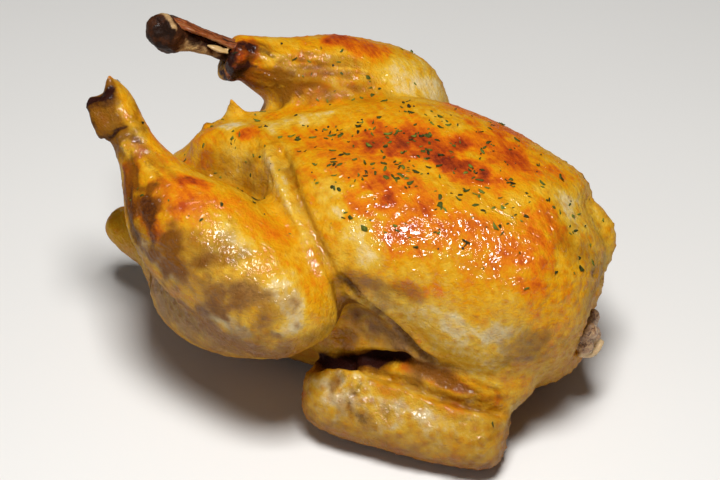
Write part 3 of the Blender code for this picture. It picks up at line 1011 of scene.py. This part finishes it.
class MESH_OT_roast_skin(bpy.types.Operator):
    """Builds the bird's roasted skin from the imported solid"""

    bl_idname = "mesh.roast_skin"
    bl_label = "Roasted Skin"

    def execute(self, context):
        s = context.scene.roast_skin
        mesh = bmesh.new()
        mesh.from_mesh(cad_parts["bird"].data)
        bmesh.ops.remove_doubles(mesh, verts=mesh.verts, dist=0.01 * MM)
        add_loft(mesh, VENT_SCRAP)
        for corner in ANKLE_CORNERS:
            add_loft(mesh, corner)
        add_loft(mesh, ANKLE_SWELL)
        add_loft(mesh, COLLAR, sides=9)
        rng = random.Random(5)
        for rim in ROLLED_RIMS:
            add_roll(mesh, *rim, rng)
        piece = add_piece("roasted_skin", mesh, glazed_skin(s), "skin", "bird")
        fuse(piece, s.grain, 8)
        data = piece.data
        laid_out = points_of(data)
        self.shape(data, s)
        self.colour(data, laid_out)
        return {"FINISHED"}

    def shape(self, data, s):
        """Folds, swells, crinkles and goosebumps."""
        points = points_of(data)
        move = np.zeros(len(points))
        for path, width, depth in CREASES:
            far = distance_to(points, path) / width
            move -= depth * (np.exp(-far**2) - CREASE_LIP * np.exp(-(far - LIP_AWAY)**2))
        for path, width, height in RIDGES:
            move += height * np.exp(-(distance_to(points, path) / width) ** 2)
        above = smooth_step(points[:, 2], 1, 9)
        move += s.unevenness / MM * cloud(points, SWELLS, 1) * above
        for height, wrinkle in self.wrinkles(points):
            move += height * wrinkle
        move_out(data, move)
        draw(data, DENTS)
        soften(data, 2)
        draw(data, PULLS)

        points = points_of(data)
        rng = np.random.default_rng(7)
        seeds = scatter_follicles(points, s.follicles / MM, rng)
        tree = KDTree(len(seeds))
        for number, index in enumerate(seeds):
            tree.insert(Vector(points[index]), number)
        tree.balance()
        far = np.array([tree.find(Vector(p))[2] for p in points])
        bump = np.exp(-(far / BUMP_RADIUS) ** 2)
        patchy = np.clip(0.55 + 0.9 * cloud(points, BUMPY_PATCHES, 5), 0.08, 1)
        rough = np.clip(patchy + self.lumpy(points), 0, 1.8)
        rumpled = 0.2 + 1.0 * smooth_step(points[:, 0], 98, 110) + self.wings(points)
        lumps = 0.45 * rumpled * cloud(points, LUMPS, 15)
        lines = np.abs(cloud(points @ GRAIN_OF_MEAT, LONG_CRINKLES, 12))
        fine = cloud(points, FINE_CRINKLES, 9, 3) + 0.8 * (0.4 - lines)
        above = smooth_step(points[:, 2], 0.5, 4)
        bumps = s.goosebump / MM * bump * rough
        move_out(data, above * (bumps + s.crinkle / MM * fine + lumps))
        store(data, "follicle", bump * rough)

    def wrinkles(self, points):
        """Each bundle's height, and how far each point stands out in it: -1 in furrows to 1."""
        for number, (path, radius, height, along) in enumerate(WRINKLED):
            inside = 1 - smooth_step(distance_to(points, path) / radius, 0.4, 1.0)
            lines = np.abs(strands(points, along, WRINKLE_WIDTH, 50 + number))
            yield height, inside * np.clip(1 - 4 * lines, -1, 1)

    def wings(self, points):
        """1 on the wings and 0 off them."""
        return 1 - smooth_step(distance_to(on_the_left(points), FOREWING), 14, 22)

    def lumpy(self, points):
        """The wings, the neck end and the undersides of the thighs are the bumpiest."""
        thigh = 1 - smooth_step(distance_to(on_the_left(points), UNDER_THIGH), 12, 26)
        return self.wings(points) + 1.2 * smooth_step(points[:, 0], 88, 108) + 0.7 * thigh

    def colour(self, data, points):
        """Roasting, thin skin, juices and scorching, with painted shade in the folds and towards
        the bottom, from where each point lay before it was shaped.
        """
        normals = normals_of(data)
        wobble = cloud(points, 8, 21, 3)
        broad = cloud(points, 24, 31)
        upward = np.clip(normals[:, 2], 0, 1)
        roast_and_shade = EVEN_ROAST + 0.08 * upward + 0.12 * broad
        roast_and_shade += at_most(painted(points, BROWNED, wobble), MOST_BROWNED)
        roast_and_shade -= at_most(painted(points, PALE_AND_HIGHLIGHTS, wobble), MOST_PALE)
        # painted shade: the skin is browner and duller towards the bottom
        low = 1 - smooth_step(points[:, 2], 6, 46)
        roast_and_shade += 0.1 * low
        dull_and_shade = painted(points, THIN, wobble) + 0.35 * low * (0.6 + broad)
        # painted shade: the juice colour grows towards the bottom
        juice_and_shade = painted(points, JUICES_AND_SHADE, wobble) + 0.5 * (1 - smooth_step(points[:, 2], 0, 60))
        # painted shade on the skin that faces down
        shade_facing_down = np.clip(-normals[:, 2], 0, 1)
        # painted shade in the wrinkles' furrows, and painted light that leaves their crests paler
        for height, wrinkle in self.wrinkles(points):
            juice_and_shade += min(1.0, height) * np.clip(-wrinkle, 0, 1)
            roast_and_shade -= 0.1 * np.clip(wrinkle, 0, 1)
        wings = self.wings(points)
        juice_and_shade += 0.5 * wings * np.clip(cloud(points, 5, 41), 0, 1)
        roast_and_shade -= 0.25 * wings * np.clip(cloud(points, 9, 43), 0, 1)
        store(data, "roast_and_shade", roast_and_shade)
        store(data, "dull_and_shade", dull_and_shade)
        store(data, "juice_and_shade", juice_and_shade + 0.45 * shade_facing_down)
        # scorching, and painted shadow in the pockets and the deepest creases
        store(data, "burnt", painted(points, SCORCHED_AND_SHADE, wobble))
        store(data, "basted", EVENLY_BASTED + painted(points, BASTED, wobble))


# The bare end of the right shank: its shaft, then the two knuckles and the rim between them.
SHAFT = [
    (-59, 38, 120, 4.4, 4.4),
    (-68, 33, 125, 4.1, 4.1),
    (-76, 29, 129.5, 4.3, 4.2),
    (-83, 25, 133.5, 5.2, 5.0),
    (-89, 22, 137, 7.0, 6.4),
]
KNUCKLES = [
    (-92.5, 17.5, 141, 8.8, 7.4, 8.6),
    (-94.5, 25, 134.5, 8.6, 7.4, 9.2),
    (-90, 21, 137.5, 7.8, 7.6, 8.2),
]
# Tendons along the bone: rings of x, y, z, half width and half height.
TENDONS = [
    [(-94, 20, 143.5, 1.4, 0.9), (-88, 21, 144, 2.2, 1.2), (-80, 24, 140.5, 1.8, 1.3),
        (-71, 27.5, 135, 1.9, 1.3), (-62, 31.5, 130, 2.6, 1.8), (-54, 37, 126, 2.4, 1.8)],
    [(-95, 23, 142, 1.3, 0.9), (-88, 25, 142, 2.4, 1.3), (-80, 28, 138, 1.6, 1.2),
        (-71, 31, 133.5, 2.2, 1.4), (-62, 35, 129, 2.6, 1.6)],
    [(-92, 19, 147, 1.0, 0.8), (-86, 21.5, 145, 1.6, 1.0), (-77, 25, 139.5, 1.0, 1.0),
        (-68, 29.5, 133.5, 1.5, 1.0)],
    [(-91, 17, 146.5, 1.2, 1.0), (-86, 19, 144.5, 1.9, 1.2), (-78, 22.5, 140.3, 1.4, 1.1),
        (-70, 26.5, 135, 1.2, 1.0), (-65, 29, 132, 1.0, 0.9)],
]
SLIVER = [
    (-75, 23.5, 133.6, 0.5, 0.4),
    (-72.5, 24.5, 132.6, 1.6, 0.9),
    (-69.5, 25.5, 131.2, 1.9, 1.0),
    (-66.5, 27, 129.8, 1.3, 0.8),
]


class MESH_OT_roast_shank(bpy.types.Operator):
    """Builds the bare bone of the right leg and the dried tendons on it"""

    bl_idname = "mesh.roast_shank"
    bl_label = "Bare Shank"

    def execute(self, context):
        s = context.scene.roast_shank
        mesh = bmesh.new()
        add_loft(mesh, SHAFT)
        for knuckle in KNUCKLES:
            add_ball(mesh, *knuckle)
        bone = add_piece("bare_shank", mesh, burnt_bone(s), "bone", "shank_bone")
        fuse(bone, s.grain, 4)
        points = points_of(bone.data)
        groove = distance_to(points, [(-103, 20, 139), (-98, 21, 145), (-88, 20, 146)])
        hollow = distance_to(points, [(-93, 12, 148.5), (-90, 10.5, 143)])
        move = 0.5 * cloud(points, 4, 3, 3)
        move -= 1.6 * np.exp(-(groove / 2.4) ** 2) + 2.6 * np.exp(-(hollow / 4.5) ** 2)
        move_out(bone.data, move)
        points = points_of(bone.data)
        burnt = painted(points, [
            ([(-93, 12, 148.5), (-90, 11.5, 144)], 5.5, 1.2),
            ([(-96, 14, 138), (-91, 12, 136)], 5, 0.5),
            ([(-98, 20, 138), (-97, 26, 132)], 10, 0.4),
            ([(-84, 20, 138), (-72, 25, 132)], 2.2, 0.7),
        ], cloud(points, 4, 5, 3))
        clean = painted(points, [
            ([(-84, 19, 132), (-73, 24, 127)], 5.0, 0.5),
            ([(-100, 18, 145), (-97, 19.5, 148), (-92, 19, 149.5), (-88, 16, 148.5),
              (-86, 14, 146)], 1.7, 0.45),
            ([(-94, 26, 126), (-98, 28, 128)], 3, 0.3),
        ], cloud(points, 4, 6, 3))
        store(bone.data, "burnt", burnt)
        store(bone.data, "clean", 0.12 + clean)

        strips = bmesh.new()
        for tendon in TENDONS:
            add_loft(strips, tendon, sides=14)
        add_loft(strips, SLIVER, sides=12)
        tendons = add_piece("shank_tendons", strips, dried_tendon(s), "skin")
        fuse(tendons, 0.5 * MM, 2)
        points = points_of(tendons.data)
        move_out(tendons.data, 0.3 * cloud(points, 2.6, 8, 3))
        near = distance_to(points, [ring[:3] for ring in SLIVER])
        store(tendons.data, "clean", 0.85 * (1 - smooth_step(near, 1.6, 2.6)))
        return {"FINISHED"}


# The neck stump: the bone's end, lumps of meat round it, and a curl of skin.
STUMP = [
    (90, 0.6, 44.5, 8.3, 8.3),
    (104, -3.5, 44, 8.2, 8.0),
    (112, -6, 43.5, 7.8, 7.4),
    (117, -7.5, 43.5, 5, 4.6),
]
NECK_LUMPS = [
    (115.5, -9, 48.5, 3.6, 3.4, 4.2),
    (116, -3, 42, 3.2, 4.0, 3.8),
    (114.5, -11, 41, 3.4, 3.4, 3.6),
    (113.5, 1.5, 47, 3.6, 3.6, 4.6),
]
NECK_CURL = [
    (112, -12, 38, 2.4, 1.8),
    (116, -10, 36.2, 2.2, 1.6),
    (118.5, -6, 36.6, 1.9, 1.5),
    (119.3, -2, 38.6, 1.4, 1.2),
]


class MESH_OT_roast_neck(bpy.types.Operator):
    """Builds the cut end of the neck with its scraps of meat"""

    bl_idname = "mesh.roast_neck"
    bl_label = "Neck Stump"

    def execute(self, context):
        s = context.scene.roast_neck
        mesh = bmesh.new()
        add_loft(mesh, STUMP)
        for lump in NECK_LUMPS:
            add_ball(mesh, *lump)
        add_loft(mesh, NECK_CURL, sides=14)
        stump = add_piece("neck_end", mesh, neck_meat(s), "neck_meat", "neck_stump")
        fuse(stump, s.grain, 2)
        points = points_of(stump.data)
        move_out(stump.data, 0.45 * cloud(points, 3.5, 4, 3))
        curl = distance_to(points, [ring[:3] for ring in NECK_CURL])
        store(stump.data, "clean", 0.8 * (1 - smooth_step(curl, 2.2, 3.6)))
        return {"FINISHED"}


def surface_tree(name):
    graph = bpy.context.evaluated_depsgraph_get()
    return BVHTree.FromObject(bpy.data.objects[name], graph)


def drop_on(tree, x, y):
    """Where something let fall at x, y in millimetres lands: the point and the surface's normal."""
    point, normal, _, _ = tree.ray_cast(Vector((x, y, 200)) * MM, Vector((0, 0, -1)))
    return point, normal


def herb_share(x, y, z):
    """How thickly herbs lie: most along the top of the breast, few on the legs and wings."""
    breast = math.exp(-((x - 35) / 52) ** 2 - ((y + 4) / 34) ** 2)
    return breast + (0.07 if z > 60 else 0.0)


def lying_on(point, normal, turn, lift):
    """A frame on the surface, turned about its normal."""
    place = normal.to_track_quat("Z", "Y").to_matrix().to_4x4() @ Matrix.Rotation(turn, 4, "Z")
    place.translation = point + normal * lift
    return place


# Herbs stay where the skin faces up at least this much, and flakes are this thick.
LEAST_UPWARD = 0.35
FLAKE_THICKNESS = 0.15
SECOND_FLAKE = 0.3
SECOND_FLAKE_AWAY = 2.2


class MESH_OT_roast_herbs(bpy.types.Operator):
    """Scatters herb flakes and cracked pepper over the bird"""

    bl_idname = "mesh.roast_herbs"
    bl_label = "Herbs and Pepper"

    def execute(self, context):
        s = context.scene.roast_herbs
        tree = surface_tree("roasted_skin")
        rng = random.Random(11)
        spots = self.spots(tree, s.flakes + s.grains, rng)
        flakes = bmesh.new()
        tone = flakes.verts.layers.float.new("tone")
        for place, normal in spots[:s.flakes]:
            self.add_flake(flakes, tone, place, normal, s, rng)
        # extruding gives a flake's sides in any order, and this makes it the same in each run
        flakes.faces.sort(key=lambda face: face.calc_center_median().x)
        add_piece("herb_flakes", flakes, rubbed_leaf(s), "skin")
        grains = bmesh.new()
        for place, normal in spots[s.flakes:]:
            size = rng.uniform(0.25, 0.55) * MM
            made = bmesh.ops.create_icosphere(
                grains, subdivisions=1, radius=size,
                matrix=lying_on(place, normal, rng.uniform(0, 6.28), size * 0.5),
            )
            for vert in made["verts"]:
                vert.co += Vector([rng.uniform(-0.35, 0.35) * size for _ in range(3)])
        add_piece("pepper_grains", grains, cracked_pepper(s), "skin")
        return {"FINISHED"}

    def spots(self, tree, wanted, rng):
        """At least as many places and normals on the skin as are wanted."""
        found = []
        while len(found) < wanted:
            x, y = rng.uniform(-110, 118), rng.uniform(-90, 90)
            point, normal = drop_on(tree, x, y)
            if point is None or normal.z < LEAST_UPWARD:
                continue
            if rng.random() < herb_share(x, y, point.z / MM):
                found.append((point, normal))
                # some fall in twos and threes
                while rng.random() < SECOND_FLAKE:
                    beside = [at + rng.gauss(0, SECOND_FLAKE_AWAY) for at in (x, y)]
                    point, normal = drop_on(tree, *beside)
                    if point is not None and normal.z > LEAST_UPWARD:
                        found.append((point, normal))
        rng.shuffle(found)
        return found

    def add_flake(self, mesh, tone, place, normal, s, rng):
        """An irregular scrap of leaf, a little curled."""
        length = s.longest * (0.12 + 0.42 * rng.betavariate(1.2, 2.0))
        width = length * rng.uniform(0.25, 0.65)
        curl = rng.uniform(-0.3, 0.5)
        lying = lying_on(place, normal, rng.uniform(0, 6.28), 0.12 * MM)
        ring = bmesh.ops.create_circle(mesh, segments=7, radius=1, cap_ends=True)["verts"]
        for vert in ring:
            reach = rng.uniform(0.45, 1.25)
            x, y = vert.co.x * length * reach, vert.co.y * width * reach
            vert.co = lying @ Vector((x, y, curl * x * x / length))
        face = next(f for f in ring[0].link_faces)
        out = bmesh.ops.extrude_face_region(mesh, geom=[face])
        top = [v for v in out["geom"] if isinstance(v, bmesh.types.BMVert)]
        for vert in top:
            vert.co += normal * FLAKE_THICKNESS * MM
        shade = rng.betavariate(2.0, 2.2)
        for vert in ring + top:
            vert[tone] = shade


# The stage in metres: the point looked at, the camera's distance, and each light's place and size.
LOOK_AT = (0.006, -0.0004, 0.063)
CAMERA_AWAY = 1.0
CAMERA_AZIMUTH = 20
CAMERA_ELEVATION = 38
KEY_LIGHT = ((0.14, -0.34, 1.08), 0.3)
FILL_LIGHT = ((-0.35, -1.2, 0.75), 0.9)
LIGHTS_AIM = (0, 0, 0.06)
FLOOR_REACH = 3


class SCENE_OT_roast_stage(bpy.types.Operator):
    """Sets the pale floor, the soft lights and the camera"""

    bl_idname = "scene.roast_stage"
    bl_label = "Stage"

    def execute(self, context):
        s = context.scene.roast_stage
        mesh = bmesh.new()
        bmesh.ops.create_grid(mesh, x_segments=2, y_segments=2, size=FLOOR_REACH)
        data = bpy.data.meshes.new("floor")
        mesh.to_mesh(data)
        mesh.free()
        data.materials.append(studio_floor(s))
        floor = bpy.data.objects.new("floor", data)
        context.scene.collection.objects.link(floor)
        self.add_light("soft_light_above", *KEY_LIGHT, s.key)
        self.add_light("fill_light", *FILL_LIGHT, s.fill)
        world = bpy.data.worlds.new("room")
        world.use_nodes = True
        sky = world.node_tree.nodes["Background"]
        sky.inputs["Color"].default_value = (1, 1, 1, 1)
        sky.inputs["Strength"].default_value = s.sky
        context.scene.world = world
        context.scene.view_settings.view_transform = "Standard"
        self.add_camera(context.scene, s.lens)
        return {"FINISHED"}

    def add_light(self, name, place, size, power):
        light = bpy.data.lights.new(name, "AREA")
        light.size = size
        light.energy = power
        lamp = bpy.data.objects.new(name, light)
        lamp.location = place
        towards = Vector(LIGHTS_AIM) - lamp.location
        lamp.rotation_euler = towards.to_track_quat("-Z", "Y").to_euler()
        bpy.context.scene.collection.objects.link(lamp)

    def add_camera(self, scene, lens):
        azimuth, elevation = math.radians(CAMERA_AZIMUTH), math.radians(CAMERA_ELEVATION)
        back = Vector((
            math.sin(azimuth) * math.cos(elevation),
            -math.cos(azimuth) * math.cos(elevation),
            math.sin(elevation),
        ))
        data = bpy.data.cameras.new("camera")
        data.lens = lens
        camera = bpy.data.objects.new("camera", data)
        camera.location = Vector(LOOK_AT) + CAMERA_AWAY * back
        camera.rotation_euler = (-back).to_track_quat("-Z", "Y").to_euler()
        scene.collection.objects.link(camera)
        scene.camera = camera


class VIEW3D_PT_roast_chicken(bpy.types.Panel):
    bl_label = "Roast Chicken"
    bl_space_type = "VIEW_3D"
    bl_region_type = "UI"
    bl_category = "Roast Chicken"

    def draw(self, context):
        for operator, name, _ in PARTS:
            box = self.layout.box()
            box.operator(operator.bl_idname)
            settings = getattr(context.scene, name)
            for setting in settings.__annotations__:
                box.prop(settings, setting)


PARTS = [
    (SCENE_OT_roast_stage, "roast_stage", StageSettings),
    (MESH_OT_roast_skin, "roast_skin", SkinSettings),
    (MESH_OT_roast_shank, "roast_shank", ShankSettings),
    (MESH_OT_roast_neck, "roast_neck", NeckSettings),
    (MESH_OT_roast_herbs, "roast_herbs", HerbSettings),
]


def register():
    for operator, name, group in PARTS:
        bpy.utils.register_class(group)
        setattr(bpy.types.Scene, name, PointerProperty(type=group))
        bpy.utils.register_class(operator)
    bpy.utils.register_class(VIEW3D_PT_roast_chicken)


def unregister():
    bpy.utils.unregister_class(VIEW3D_PT_roast_chicken)
    for operator, name, group in PARTS:
        bpy.utils.unregister_class(operator)
        delattr(bpy.types.Scene, name)
        bpy.utils.unregister_class(group)


def main():
    register()
    bpy.ops.scene.roast_stage()
    bpy.ops.mesh.roast_skin()
    bpy.ops.mesh.roast_shank()
    bpy.ops.mesh.roast_neck()
    bpy.ops.mesh.roast_herbs()


if __name__ == "__main__":
    main()
